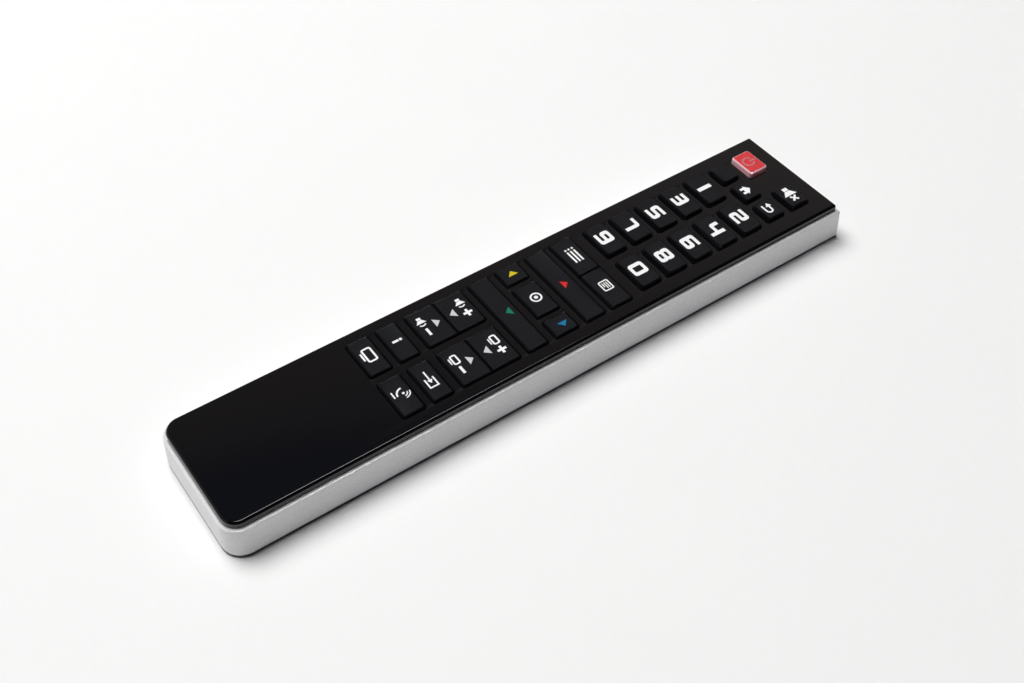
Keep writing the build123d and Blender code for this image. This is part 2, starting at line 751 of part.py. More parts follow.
# Two screws that pull the rear cover to the faceplate
head_top = deck_top + cover_boss_height
with BuildPart() as housing_screws:
    with BuildSketch(Plane.XY.offset(head_top - screw_head_height)):
        with Locations(*screw_places):
            Circle(screw_head_radius)
    extrude(amount=-screw_head_height)
    with BuildSketch(Plane.XY.offset(head_top - screw_head_height)):
        with Locations(*screw_places):
            Circle(screw_shank_radius)
    extrude(amount=skin_bottom - head_top + screw_head_height - screw_tip_gap)
    for x_place, y_place in screw_places:
        block((x_place - screw_head_radius, y_place - screw_slot_width / 2,
               head_top - 2 * screw_head_height),
              (x_place + screw_head_radius, y_place + screw_slot_width / 2,
               head_top - 2 * screw_head_height + screw_slot_depth), mode=Mode.SUBTRACT)
save(housing_screws, "housing_screws")
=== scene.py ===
import json
import math

import bmesh
import bpy
from mathutils import Matrix, Vector


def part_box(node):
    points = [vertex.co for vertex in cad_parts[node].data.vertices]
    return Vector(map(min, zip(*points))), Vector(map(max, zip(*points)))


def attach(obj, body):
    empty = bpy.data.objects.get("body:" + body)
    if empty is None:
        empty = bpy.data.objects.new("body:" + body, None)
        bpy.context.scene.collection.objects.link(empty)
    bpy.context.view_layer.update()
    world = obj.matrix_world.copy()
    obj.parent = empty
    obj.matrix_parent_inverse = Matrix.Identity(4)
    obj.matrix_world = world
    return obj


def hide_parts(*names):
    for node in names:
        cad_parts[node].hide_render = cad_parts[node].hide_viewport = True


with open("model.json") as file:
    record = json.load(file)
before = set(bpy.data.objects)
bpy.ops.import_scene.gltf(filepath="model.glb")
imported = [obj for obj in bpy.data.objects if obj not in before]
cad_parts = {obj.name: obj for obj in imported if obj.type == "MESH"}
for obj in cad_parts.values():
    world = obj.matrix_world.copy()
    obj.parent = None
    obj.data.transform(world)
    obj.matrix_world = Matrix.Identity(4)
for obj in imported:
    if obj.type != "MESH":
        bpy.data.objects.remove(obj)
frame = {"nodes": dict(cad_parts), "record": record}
nodes = frame["nodes"]
bodyOf = {node: body for body, members in frame["record"]["behaviour"]["bodies"].items() for node in members}
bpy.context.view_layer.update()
mm = 0.001
keyNames = sorted(name for name in nodes if name.startswith("key_"))
print("frame loaded,", len(nodes), "nodes")


# Materials: small helpers first, then one function for each finish

def startMaterial(name, colour, roughness, metal=0.0, ior=1.5):
    material = bpy.data.materials.new(name)
    material.use_nodes = True
    shader = material.node_tree.nodes["Principled BSDF"]
    shader.inputs["Base Color"].default_value = (*colour, 1)
    shader.inputs["Roughness"].default_value = roughness
    shader.inputs["Metallic"].default_value = metal
    shader.inputs["IOR"].default_value = ior
    return material, material.node_tree, shader


def objectPlace(tree, centre=(0, 0, 0), stretch=(1, 1, 1)):
    # Object coordinates, moved and stretched by a Mapping node
    place = tree.nodes.new("ShaderNodeTexCoord")
    mapping = tree.nodes.new("ShaderNodeMapping")
    mapping.inputs["Location"].default_value = tuple(-centre[i] * stretch[i] for i in range(3))
    mapping.inputs["Scale"].default_value = stretch
    tree.links.new(place.outputs["Object"], mapping.inputs["Vector"])
    return mapping.outputs["Vector"]


def noiseOn(tree, size, detail=2.0, roughness=0.5, stretch=(1, 1, 1)):
    # size is the width of one grain, in metres
    noise = tree.nodes.new("ShaderNodeTexNoise")
    noise.inputs["Scale"].default_value = 1 / size
    noise.inputs["Detail"].default_value = detail
    noise.inputs["Roughness"].default_value = roughness
    tree.links.new(objectPlace(tree, stretch=stretch), noise.inputs["Vector"])
    return noise.outputs["Fac"]


def grainsOn(tree, size):
    # a random value for each flake
    cells = tree.nodes.new("ShaderNodeTexVoronoi")
    cells.inputs["Scale"].default_value = 1 / size
    tree.links.new(objectPlace(tree), cells.inputs["Vector"])
    value = tree.nodes.new("ShaderNodeSeparateColor")
    tree.links.new(cells.outputs["Color"], value.inputs["Color"])
    return value.outputs["Red"]


def remap(tree, value, low, high, fromLow=0.3, fromHigh=0.7):
    change = tree.nodes.new("ShaderNodeMapRange")
    change.inputs["From Min"].default_value = fromLow
    change.inputs["From Max"].default_value = fromHigh
    change.inputs["To Min"].default_value = low
    change.inputs["To Max"].default_value = high
    tree.links.new(value, change.inputs["Value"])
    return change.outputs["Result"]


def maths(tree, kind, first, second):
    step = tree.nodes.new("ShaderNodeMath")
    step.operation = kind
    for index, value in enumerate((first, second)):
        if hasattr(value, "is_linked"):
            tree.links.new(value, step.inputs[index])
        else:
            step.inputs[index].default_value = value
    return step.outputs["Value"]


def mixColours(tree, value, low, high):
    # low and high are plain colours or other colour sockets
    mix = tree.nodes.new("ShaderNodeMix")
    mix.data_type = "RGBA"
    tree.links.new(value, mix.inputs["Factor"])
    for socket, colour in ((mix.inputs["A"], low), (mix.inputs["B"], high)):
        if hasattr(colour, "is_linked"):
            tree.links.new(colour, socket)
        else:
            socket.default_value = (*colour, 1)
    return mix.outputs["Result"]


def addBump(tree, shader, height, depth, strength=1.0):
    bump = tree.nodes.new("ShaderNodeBump")
    bump.inputs["Distance"].default_value = depth
    bump.inputs["Strength"].default_value = strength
    tree.links.new(height, bump.inputs["Height"])
    tree.links.new(bump.outputs["Normal"], shader.inputs["Normal"])


def axisValue(tree, axis, centre=(0, 0, 0)):
    # one Object coordinate, in metres from the centre
    split = tree.nodes.new("ShaderNodeSeparateXYZ")
    tree.links.new(objectPlace(tree, centre), split.inputs["Vector"])
    return split.outputs[axis]


glossPlateValues = {"colour": (0.0012, 0.0011, 0.0013), "speck": (0.022, 0.022, 0.024), "speckLow": 0.76,
                    "speckHigh": 0.82, "dust": 0.45 * mm, "smudge": 22 * mm, "lowRough": 0.03,
                    "highRough": 0.065}


def glossPlateMaterial():
    # piano black with a few specks of dust, and faint smudges that only change the gloss
    v = glossPlateValues
    material, tree, shader = startMaterial("glossBlackPlate", v["colour"], v["lowRough"])
    smudges = noiseOn(tree, v["smudge"], detail=4)
    tree.links.new(remap(tree, smudges, v["lowRough"], v["highRough"]), shader.inputs["Roughness"])
    specks = remap(tree, noiseOn(tree, v["dust"], detail=1), 0, 1, v["speckLow"], v["speckHigh"])
    tree.links.new(mixColours(tree, specks, v["colour"], v["speck"]), shader.inputs["Base Color"])
    return material


silverValues = {"dark": (0.65, 0.65, 0.66), "light": (0.87, 0.87, 0.885), "flake": 0.16 * mm,
                "flakeShare": 0.75, "lowRough": 0.28, "highRough": 0.42, "metal": 0.12, "gloss": 0.3,
                "grain": 0.22 * mm, "grainDepth": 0.012 * mm, "grainStrength": 0.6}


def silverPaintMaterial():
    # fine aluminium flakes under a satin lacquer
    v = silverValues
    material, tree, shader = startMaterial("silverPaint", v["dark"], v["lowRough"], v["metal"])
    shader.inputs["Specular IOR Level"].default_value = v["gloss"]
    flakes = grainsOn(tree, v["flake"])
    clouds = noiseOn(tree, v["flake"] * 2)
    sparkle = maths(tree, "ADD", maths(tree, "MULTIPLY", flakes, v["flakeShare"]),
                    maths(tree, "MULTIPLY", clouds, 1 - v["flakeShare"]))
    tree.links.new(mixColours(tree, sparkle, v["dark"], v["light"]), shader.inputs["Base Color"])
    tree.links.new(remap(tree, flakes, v["lowRough"], v["highRough"], 0, 1), shader.inputs["Roughness"])
    addBump(tree, shader, noiseOn(tree, v["grain"]), v["grainDepth"], v["grainStrength"])
    return material


mouldedValues = {"grain": 0.28 * mm, "depth": 0.01 * mm, "shinier": 0.06, "duller": 0.08, "lighter": 1.35,
                 "cloudPerGrain": 60}


def mouldedMaterial(name, colour, roughness, grain=mouldedValues["grain"], depth=mouldedValues["depth"]):
    # spark-eroded plastic: a fine even grain
    v = mouldedValues
    material, tree, shader = startMaterial(name, colour, roughness)
    texture = noiseOn(tree, grain, detail=3, roughness=0.6)
    tree.links.new(remap(tree, texture, roughness - v["shinier"], roughness + v["duller"]),
                   shader.inputs["Roughness"])
    lighter = tuple(channel * v["lighter"] for channel in colour)
    clouds = noiseOn(tree, grain * v["cloudPerGrain"])
    tree.links.new(mixColours(tree, clouds, colour, lighter), shader.inputs["Base Color"])
    addBump(tree, shader, texture, depth)
    return material


# the side gloss is set low so that the key sides render darker: painted shade
keyRubberValues = {"dark": (0.0042, 0.0044, 0.0056), "light": (0.0054, 0.0057, 0.0072), "wear": 3.6 * mm,
                   "rough": 0.5, "shinier": 0.05, "duller": 0.08, "ior": 1.43, "grain": 0.09 * mm,
                   "grainDepth": 0.006 * mm, "grainStrength": 0.7, "topGloss": 0.28, "sideGloss": 0.1}


def keyRubberMaterial(name, gloss):
    # silicone rubber; the copy for the sides gets less gloss than the top so that the key sides render
    # darker, a painted shade
    v = keyRubberValues
    material, tree, shader = startMaterial(name, v["dark"], v["rough"], ior=v["ior"])
    shader.inputs["Specular IOR Level"].default_value = gloss
    wear = noiseOn(tree, v["wear"], detail=3)
    tree.links.new(mixColours(tree, wear, v["dark"], v["light"]), shader.inputs["Base Color"])
    tree.links.new(remap(tree, wear, v["rough"] - v["shinier"], v["rough"] + v["duller"]),
                   shader.inputs["Roughness"])
    addBump(tree, shader, noiseOn(tree, v["grain"]), v["grainDepth"], v["grainStrength"])
    return material


powerValues = {"top": (0.58, 0.040, 0.048), "topLight": (0.62, 0.052, 0.060), "topCloud": 4 * mm,
               "topRough": 0.42, "topRoughSpan": 0.05, "topGrain": 0.12 * mm, "topStrength": 0.6,
               "side": (0.80, 0.50, 0.54), "sideLight": (0.86, 0.60, 0.64), "sideCloud": 1.5 * mm,
               "sideRough": 0.36, "sideGrain": 0.2 * mm, "sideStrength": 0.5, "grainDepth": 0.006 * mm,
               "glow": 0.85, "glowReach": (2.2 * mm, 1.3 * mm, 1.4 * mm), "ior": 1.43}


def powerTopMaterial():
    v = powerValues
    material, tree, shader = startMaterial("powerKeyTop", v["top"], v["topRough"], ior=v["ior"])
    grain = noiseOn(tree, v["topGrain"])
    clouds = noiseOn(tree, v["topCloud"])
    tree.links.new(mixColours(tree, clouds, v["top"], v["topLight"]), shader.inputs["Base Color"])
    tree.links.new(remap(tree, grain, v["topRough"] - v["topRoughSpan"], v["topRough"] + v["topRoughSpan"]),
                   shader.inputs["Roughness"])
    addBump(tree, shader, grain, v["grainDepth"], v["topStrength"])
    return material


def powerSideMaterial():
    # milky silicone that lets light through at the sides
    v = powerValues
    material, tree, shader = startMaterial("powerKeySide", v["side"], v["sideRough"], ior=v["ior"])
    shader.inputs["Subsurface Weight"].default_value = v["glow"]
    shader.inputs["Subsurface Radius"].default_value = v["glowReach"]
    shader.inputs["Subsurface Scale"].default_value = 1.0
    clouds = noiseOn(tree, v["sideCloud"])
    tree.links.new(mixColours(tree, clouds, v["side"], v["sideLight"]), shader.inputs["Base Color"])
    addBump(tree, shader, noiseOn(tree, v["sideGrain"]), v["grainDepth"], v["sideStrength"])
    return material


inkValues = {"thin": 0.86, "grain": 0.35 * mm, "coverLow": 0.25, "coverHigh": 0.5, "lowRough": 0.44,
             "highRough": 0.58}


def inkMaterial(name, colour):
    # printed ink: slightly uneven
    v = inkValues
    material, tree, shader = startMaterial(name, colour, v["lowRough"])
    thin = tuple(channel * v["thin"] for channel in colour)
    cover = noiseOn(tree, v["grain"], detail=3)
    share = remap(tree, cover, 0, 1, v["coverLow"], v["coverHigh"])
    tree.links.new(mixColours(tree, share, thin, colour), shader.inputs["Base Color"])
    tree.links.new(remap(tree, cover, v["lowRough"], v["highRough"]), shader.inputs["Roughness"])
    return material


sleeveValues = {"lighter": 1.2, "mottle": 0.6 * mm, "wear": 0.8 * mm, "lowRough": 0.26, "highRough": 0.38,
                "bare": (0.62, 0.62, 0.63)}


def sleeveMaterial(name, main, band, bandSpan, sleeveSpan, axis):
    # printed sleeve with one band of another colour, and bare metal past the sleeve's ends
    v = sleeveValues
    material, tree, shader = startMaterial(name, main, v["lowRough"])
    along = axisValue(tree, axis)
    inBand = maths(tree, "MULTIPLY", maths(tree, "GREATER_THAN", along, bandSpan[0]),
                   maths(tree, "LESS_THAN", along, bandSpan[1]))
    isBare = maths(tree, "ADD", maths(tree, "LESS_THAN", along, sleeveSpan[0]),
                   maths(tree, "GREATER_THAN", along, sleeveSpan[1]))
    lighter = tuple(channel * v["lighter"] for channel in main)
    mottled = mixColours(tree, noiseOn(tree, v["mottle"]), main, lighter)
    printed = mixColours(tree, inBand, mottled, band)
    tree.links.new(mixColours(tree, isBare, printed, v["bare"]), shader.inputs["Base Color"])
    tree.links.new(isBare, shader.inputs["Metallic"])
    tree.links.new(remap(tree, noiseOn(tree, v["wear"]), v["lowRough"], v["highRough"]),
                   shader.inputs["Roughness"])
    return material


cellValues = {"jacket": (0.045, 0.12, 0.10), "band": (0.50, 0.52, 0.48), "bandReach": 10.5 * mm,
              "rim": 0.9 * mm, "nub": 0.8 * mm}


def cellMaterial(node, nubAtFar):
    # grey-green jacket with a pale band at the nub end, bare can at both ends
    v = cellValues
    low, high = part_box(node)
    near = low.y + (0 if nubAtFar else v["nub"])
    far = high.y - (v["nub"] if nubAtFar else 0)
    if nubAtFar:
        band = (far - v["bandReach"], far - v["rim"])
    else:
        band = (near + v["rim"], near + v["bandReach"])
    name = "cellJacket" + ("Far" if nubAtFar else "Near")
    return sleeveMaterial(name, v["jacket"], v["band"], band, (near + v["rim"], far - v["rim"]), "Y")


capacitorValues = {"sleeve": (0.014, 0.022, 0.075), "stripe": (0.45, 0.46, 0.48), "stripeFrom": 2.4 * mm,
                   "stripeTo": 1.2 * mm, "rim": 0.4 * mm, "past": 1 * mm}


def capacitorMaterial():
    v = capacitorValues
    low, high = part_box("smoothing_capacitor")
    stripe = (high.x - v["stripeFrom"], high.x - v["stripeTo"])
    sleeve = (low.x - v["past"], high.x - v["rim"])  # the sleeve wraps the closed end
    return sleeveMaterial("capacitorSleeve", v["sleeve"], v["stripe"], stripe, sleeve, "X")


boardValues = {"dark": (0.010, 0.085, 0.030), "light": (0.014, 0.115, 0.040), "track": (0.035, 0.19, 0.07),
               "trackLength": 13 * mm, "trackPitch": 1.1 * mm, "trackWidth": 0.2 * mm,
               "trackDepth": 0.03 * mm, "trackStrength": 0.5, "wear": 2 * mm, "lowRough": 0.24,
               "highRough": 0.4}


def boardMaterial():
    # green solder mask over copper tracks that run along the board
    v = boardValues
    material, tree, shader = startMaterial("circuitBoard", v["dark"], v["lowRough"])
    tracks = tree.nodes.new("ShaderNodeTexBrick")
    tracks.inputs["Scale"].default_value = 1
    tracks.inputs["Brick Width"].default_value = v["trackLength"]
    tracks.inputs["Row Height"].default_value = v["trackPitch"]
    tracks.inputs["Mortar Size"].default_value = v["trackWidth"]
    for socket, colour in (("Color1", "dark"), ("Color2", "light"), ("Mortar", "track")):
        tracks.inputs[socket].default_value = (*v[colour], 1)
    turned = tree.nodes.new("ShaderNodeVectorRotate")
    turned.rotation_type = "Z_AXIS"
    turned.inputs["Angle"].default_value = math.radians(90)
    tree.links.new(objectPlace(tree), turned.inputs["Vector"])
    tree.links.new(turned.outputs["Vector"], tracks.inputs["Vector"])
    tree.links.new(tracks.outputs["Color"], shader.inputs["Base Color"])
    tree.links.new(remap(tree, noiseOn(tree, v["wear"]), v["lowRough"], v["highRough"]),
                   shader.inputs["Roughness"])
    addBump(tree, shader, tracks.outputs["Fac"], v["trackDepth"], v["trackStrength"])
    return material


chipValues = {"dark": (0.010, 0.010, 0.011), "light": (0.022, 0.022, 0.024), "cloud": 0.3 * mm,
              "rough": 0.55, "grain": 0.2 * mm, "grainDepth": 0.01 * mm, "grainStrength": 0.5,
              "leadReach": 1.4 * mm, "tin": (0.60, 0.59, 0.57)}


def chipMaterial():
    # dark epoxy body, tinned leads past its sides
    v = chipValues
    low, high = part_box("controller_chip")
    material, tree, shader = startMaterial("chipEpoxy", v["dark"], v["rough"])
    across = maths(tree, "ABSOLUTE", axisValue(tree, "X", (low + high) / 2), 0)
    isLead = maths(tree, "GREATER_THAN", across, (high.x - low.x) / 2 - v["leadReach"])
    body = mixColours(tree, noiseOn(tree, v["cloud"], detail=3), v["dark"], v["light"])
    tree.links.new(mixColours(tree, isLead, body, v["tin"]), shader.inputs["Base Color"])
    tree.links.new(isLead, shader.inputs["Metallic"])
    addBump(tree, shader, noiseOn(tree, v["grain"]), v["grainDepth"], v["grainStrength"])
    return material


metalValues = {"line": 0.4 * mm, "lineDepth": 0.008 * mm, "lineStrength": 0.4, "darker": 0.8,
               "shinier": 0.08, "duller": 0.1}


def metalMaterial(name, colour, roughness, stretch=(1, 1, 1)):
    # drawn or plated metal; stretched coordinates turn its fine clouds into lines across that axis
    v = metalValues
    material, tree, shader = startMaterial(name, colour, roughness, metal=1.0)
    lines = noiseOn(tree, v["line"], detail=3, stretch=stretch)
    darker = tuple(channel * v["darker"] for channel in colour)
    tree.links.new(mixColours(tree, lines, darker, colour), shader.inputs["Base Color"])
    tree.links.new(remap(tree, lines, roughness - v["shinier"], roughness + v["duller"]),
                   shader.inputs["Roughness"])
    addBump(tree, shader, lines, v["lineDepth"], v["lineStrength"])
    return material


lensValues = {"dark": (0.04, 0.015, 0.08), "light": (0.07, 0.03, 0.12), "cloud": 1 * mm, "rough": 0.12,
              "clear": 0.6}


def lensMaterial():
    # smoky infrared epoxy
    v = lensValues
    material, tree, shader = startMaterial("ledLens", v["dark"], v["rough"])
    shader.inputs["Transmission Weight"].default_value = v["clear"]
    clouds = noiseOn(tree, v["cloud"])
    tree.links.new(mixColours(tree, clouds, v["dark"], v["light"]), shader.inputs["Base Color"])
    return material


windowValues = {"dark": (0.007, 0.0015, 0.004), "light": (0.014, 0.003, 0.008), "cloud": 4 * mm,
                "wear": 6 * mm, "lowRough": 0.04, "highRough": 0.1}


def windowMaterial():
    # infrared acrylic: nearly black, with a red-violet depth
    v = windowValues
    material, tree, shader = startMaterial("windowAcrylic", v["dark"], v["lowRough"])
    clouds = noiseOn(tree, v["cloud"])
    tree.links.new(mixColours(tree, clouds, v["dark"], v["light"]), shader.inputs["Base Color"])
    wear = noiseOn(tree, v["wear"], detail=3)
    tree.links.new(remap(tree, wear, v["lowRough"], v["highRough"]), shader.inputs["Roughness"])
    return material


# moulded and metal finishes are given a colour and a roughness
nickel = metalMaterial("contactNickel", (0.70, 0.68, 0.63), 0.28)
finishes = {
    "faceplate": glossPlateMaterial(),
    "silver_frame": silverPaintMaterial(),
    "ir_window": windowMaterial(),
    "rear_cover": mouldedMaterial("coverBlack", (0.010, 0.010, 0.011), 0.42),
    "battery_door": mouldedMaterial("doorBlack", (0.012, 0.012, 0.013), 0.46, 0.35 * mm, 0.014 * mm),
    "keypad_mat": mouldedMaterial("matRubber", (0.055, 0.055, 0.060), 0.6, grain=0.6 * mm),
    "circuit_board": boardMaterial(),
    "contact_pads": mouldedMaterial("padCarbon", (0.014, 0.014, 0.015), 0.7, grain=0.2 * mm),
    "controller_chip": chipMaterial(),
    "resonator": mouldedMaterial("resonatorCeramic", (0.42, 0.13, 0.025), 0.4, grain=0.4 * mm),
    "smoothing_capacitor": capacitorMaterial(),
    "ir_led": lensMaterial(),
    "led_leads": metalMaterial("leadTin", (0.66, 0.65, 0.62), 0.3),
    "housing_screws": metalMaterial("screwSteel", (0.50, 0.50, 0.51), 0.36, stretch=(1, 1, 6)),
    "cell_left": cellMaterial("cell_left", True),
    "cell_right": cellMaterial("cell_right", False),
    "spring_near": nickel,
    "spring_far": nickel,
    "series_contact": nickel,
    "plus_contact": nickel,
    "minus_contact": nickel,
}
# the second copy's lower gloss stands in for the shade on the key sides: painted shade
keyRubbers = [keyRubberMaterial("keyRubberTop", keyRubberValues["topGloss"]),
              keyRubberMaterial("keyRubberSide", keyRubberValues["sideGloss"])]
powerRubbers = [powerTopMaterial(), powerSideMaterial()]
for keyName in keyNames:
    finishes[keyName] = powerRubbers[1] if keyName == "key_power" else keyRubbers[1]
for nodeName, finish in finishes.items():
    nodes[nodeName].data.materials.clear()
    nodes[nodeName].data.materials.append(finish)
print("finishes on", len(finishes), "nodes")


# Merged copies of the moulded pieces, with their edges rounded as the tool leaves them

weldDistance = 0.002 * mm
levelReach = 0.01 * mm  # how far from a level a point may lie and still count as on it
flatAngle = math.radians(0.4)
sharpAngle = math.radians(20)
smoothAngle = math.radians(40)
uprightShare = 0.6  # an edge is upright when it rises by more than this share of its length
wallTilt = 0.1  # a face is a wall when its normal rises by less than this


def mergedCopy(nodeName):
    copy = bmesh.new()
    copy.from_mesh(nodes[nodeName].data)
    bmesh.ops.remove_doubles(copy, verts=copy.verts, dist=weldDistance)
    bmesh.ops.dissolve_limit(copy, angle_limit=flatAngle, verts=copy.verts, edges=copy.edges)
    return copy


def roundEdges(mesh, width, segments, chosen):
    # chosen says which of the sharp edges get this rounding
    sharp = [edge for edge in mesh.edges if edge.is_manifold and edge.calc_face_angle(0) > sharpAngle]
    picked = [edge for edge in sharp if chosen(edge)]
    bmesh.ops.bevel(mesh, geom=picked, offset=width, offset_type="OFFSET", segments=segments, profile=0.5,
                    affect="EDGES", material=-1, clamp_overlap=True, loop_slide=False)


def finishPiece(mesh, name, body, material, replaced=None, levelNormals=True):
    # turns the bmesh into a piece that rides on its body
    data = bpy.data.meshes.new(name)
    mesh.to_mesh(data)
    mesh.free()
    data.shade_smooth()
    data.set_sharp_from_angle(angle=smoothAngle)
    for finish in material if isinstance(material, list) else [material]:
        data.materials.append(finish)
    piece = bpy.data.objects.new(name, data)
    bpy.context.scene.collection.objects.link(piece)
    if levelNormals:
        weighted = piece.modifiers.new("levelNormals", "WEIGHTED_NORMAL")
        weighted.keep_sharp = True
    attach(piece, body)
    if replaced:
        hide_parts(replaced)


def isUpright(edge):
    run = edge.verts[0].co - edge.verts[1].co
    return abs(run.z) > uprightShare * run.length


def middleOf(edge):
    return (edge.verts[0].co + edge.verts[1].co) / 2


def isWithin(edge, low, high, band):
    # whether the edge lies close to a side of the box, seen from above
    middle = middleOf(edge)
    return (middle.x < low.x + band or middle.x > high.x - band
            or middle.y < low.y + band or middle.y > high.y - band)


keyRounding = {"corner": 0.4 * mm, "cornerSegments": 3, "cornerDepth": 2 * mm, "rim": 0.075 * mm,
               "rimReach": 0.2 * mm, "powerRim": 0.15 * mm, "powerRimReach": 0.4 * mm, "rimSegments": 2,
               "topDepth": 0.03 * mm}


def keyCap(keyName):
    v = keyRounding
    rim, reach = ("powerRim", "powerRimReach") if keyName == "key_power" else ("rim", "rimReach")
    mesh = mergedCopy(keyName)
    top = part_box(keyName)[1].z
    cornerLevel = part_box("faceplate")[1].z - v["cornerDepth"]
    roundEdges(mesh, v["corner"], v["cornerSegments"],
               lambda edge: isUpright(edge) and middleOf(edge).z > cornerLevel)
    roundEdges(mesh, v[rim], v["rimSegments"],
               lambda edge: not isUpright(edge) and middleOf(edge).z > top - v[reach])
    for face in mesh.faces:  # the top takes the first material, the sides the second
        face.material_index = 0 if face.calc_center_median().z > top - v["topDepth"] else 1
    return mesh


for keyName in keyNames:
    if keyName == "key_power":
        finishPiece(keyCap(keyName), "powerKeyCap", bodyOf[keyName], powerRubbers, keyName)
    else:
        capName = "cap" + "".join(word.capitalize() for word in keyName.split("_")[1:])
        finishPiece(keyCap(keyName), capName, bodyOf[keyName], keyRubbers, keyName)
print("rounded", len(keyNames), "key caps")


plateRounding = {"edge": 0.2 * mm, "edgeSegments": 3, "edgeReach": 1.35, "slopeLow": 0.2 * mm,
                 "slopeHigh": 0.5 * mm, "brow": 0.09 * mm, "browSegments": 2, "sideDrop": 0.55 * mm,
                 "endDrop": 0.08 * mm, "farReach": 0.5 * mm, "farTrim": 0.16 * mm, "band": 1.5 * mm,
                 "nearCorner": 5 * mm, "corner": 0.4 * mm, "cornerSegments": 3, "cornerDepth": 1.3 * mm,
                 "opening": 0.1 * mm, "openingSegments": 2, "weld": 0.01 * mm}


def deepenEdge(mesh, high):
    # the plate's sloping edge runs a little further in, and further down at the long sides
    v = plateRounding
    brow = {}
    for edge in mesh.edges:
        lower, upper = sorted(edge.verts, key=lambda vertex: vertex.co.z)
        rise = upper.co.z - lower.co.z
        if upper.co.z < high.z - levelReach or not v["slopeLow"] < rise < v["slopeHigh"]:
            continue
        inward = Vector((upper.co.x - lower.co.x, upper.co.y - lower.co.y, 0))
        upper.co.x = lower.co.x + inward.x * v["edgeReach"]
        upper.co.y = lower.co.y + inward.y * v["edgeReach"]
        brow[lower] = v["endDrop"] + (v["sideDrop"] - v["endDrop"]) * abs(inward.x) / inward.length
        if lower.co.y > high.y - v["farReach"] and abs(lower.co.x) > high.x - v["farReach"]:
            # the cut at the far corners stays long enough for its rounding
            if abs(inward.x) > abs(inward.y):
                upper.co.y -= v["farTrim"]
            else:
                upper.co.x -= math.copysign(v["farTrim"], upper.co.x)
    for lower, drop in brow.items():
        lower.co.z -= drop
    return set(brow)


def rimShifts(ring):
    # for each vertex of the rims, the sideways step that moves both its edges outwards by one unit
    shifts, rims = {}, set(ring)
    for vertex in {vertex for edge in ring for vertex in edge.verts}:
        walls = [face.normal for edge in vertex.link_edges if edge in rims for face in edge.link_faces]
        first, second = (Vector((normal.x, normal.y, 0)).normalized() for normal in walls)
        shifts[vertex] = -(first + second) / (1 + first.dot(second))
    return shifts


def roundOpenings(mesh, level, isOuter):
    # lifts the flat lid off, draws each opening's rim out in a quarter round, and fills the lid afresh
    radius, segments = plateRounding["opening"], plateRounding["openingSegments"]
    lids = [face for face in mesh.faces
            if all(abs(vertex.co.z - level) < weldDistance for vertex in face.verts)]
    bmesh.ops.delete(mesh, geom=lids, context="FACES")
    loose = [vertex for vertex in mesh.verts if vertex.is_boundary]
    bmesh.ops.remove_doubles(mesh, verts=loose, dist=plateRounding["weld"])
    border = [edge for edge in mesh.edges if edge.is_boundary]
    outer = [edge for edge in border if isOuter(edge)]
    ring = [edge for edge in border if not isOuter(edge)]
    shifts = rimShifts(ring)
    for vertex in shifts:
        vertex.co.z = level - radius
    for step in range(segments):
        lastAngle, angle = (math.pi / 2 * count / segments for count in (step, step + 1))
        origins = {tuple(vertex.co): vertex for vertex in shifts}
        made = bmesh.ops.extrude_edge_only(mesh, edges=ring)["geom"]
        fresh = {item: shifts[origins[tuple(item.co)]] for item in made
                 if isinstance(item, bmesh.types.BMVert)}
        ring = [item for item in made if isinstance(item, bmesh.types.BMEdge)
                and all(vertex in fresh for vertex in item.verts)]
        for vertex, shift in fresh.items():
            vertex.co += shift * radius * (math.cos(lastAngle) - math.cos(angle))
            vertex.co.z = level - radius + radius * math.sin(angle)
        shifts = fresh
    lid = bmesh.ops.triangle_fill(mesh, use_beauty=True, edges=outer + ring, normal=(0, 0, 1))["geom"]
    for face in lid:
        if isinstance(face, bmesh.types.BMFace) and face.normal.z < 0:
            face.normal_flip()


def plateSkin():
    v = plateRounding
    low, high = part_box("faceplate")
    mesh = mergedCopy("faceplate")
    brow = deepenEdge(mesh, high)

    def isOuter(edge):
        middle = middleOf(edge)
        atNearCorner = middle.y < low.y + v["nearCorner"] and abs(middle.x) > high.x - v["nearCorner"]
        return atNearCorner or isWithin(edge, low, high, v["band"])

    roundEdges(mesh, v["corner"], v["cornerSegments"],
               lambda edge: isUpright(edge) and not isOuter(edge)
               and middleOf(edge).z > high.z - v["cornerDepth"])
    roundEdges(mesh, v["edge"], v["edgeSegments"],
               lambda edge: not isUpright(edge) and isOuter(edge) and middleOf(edge).z > high.z - levelReach)
    roundEdges(mesh, v["brow"], v["browSegments"], lambda edge: all(vertex in brow for vertex in edge.verts))
    roundOpenings(mesh, high.z, isOuter)
    return mesh


frameRounding = {"rim": 0.13 * mm, "rimDepth": 0.4 * mm, "foot": 0.15 * mm, "footHeight": 0.1 * mm,
                 "footBand": 0.6 * mm, "segments": 2, "gap": 0.15 * mm, "joint": 0.04 * mm}


def frameShell():
    v = frameRounding
    low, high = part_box("silver_frame")
    mesh = mergedCopy("silver_frame")
    inner = {vertex for vertex in mesh.verts if vertex.co.z > high.z - levelReach
             and any(abs(face.normal.z) < wallTilt for face in vertex.link_faces)}
    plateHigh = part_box("faceplate")[1]
    for vertex in inner:  # the joint closes to a hair line at its top
        vertex.co.x *= plateHigh.x / (plateHigh.x + v["gap"]) + v["joint"] / plateHigh.x
        vertex.co.y *= plateHigh.y / (plateHigh.y + v["gap"]) + v["joint"] / plateHigh.y
    roundEdges(mesh, v["rim"], v["segments"],
               lambda edge: not isUpright(edge) and middleOf(edge).z > high.z - v["rimDepth"]
               and not all(vertex in inner for vertex in edge.verts))
    roundEdges(mesh, v["foot"], v["segments"],
               lambda edge: not isUpright(edge) and middleOf(edge).z < low.z + v["footHeight"]
               and isWithin(edge, low, high, v["footBand"]))
    return mesh


coverRounding = {"foot": 0.3 * mm, "footSegments": 3, "footHeight": 0.02 * mm, "band": 0.4 * mm,
                 "door": 0.12 * mm, "doorSegments": 2}


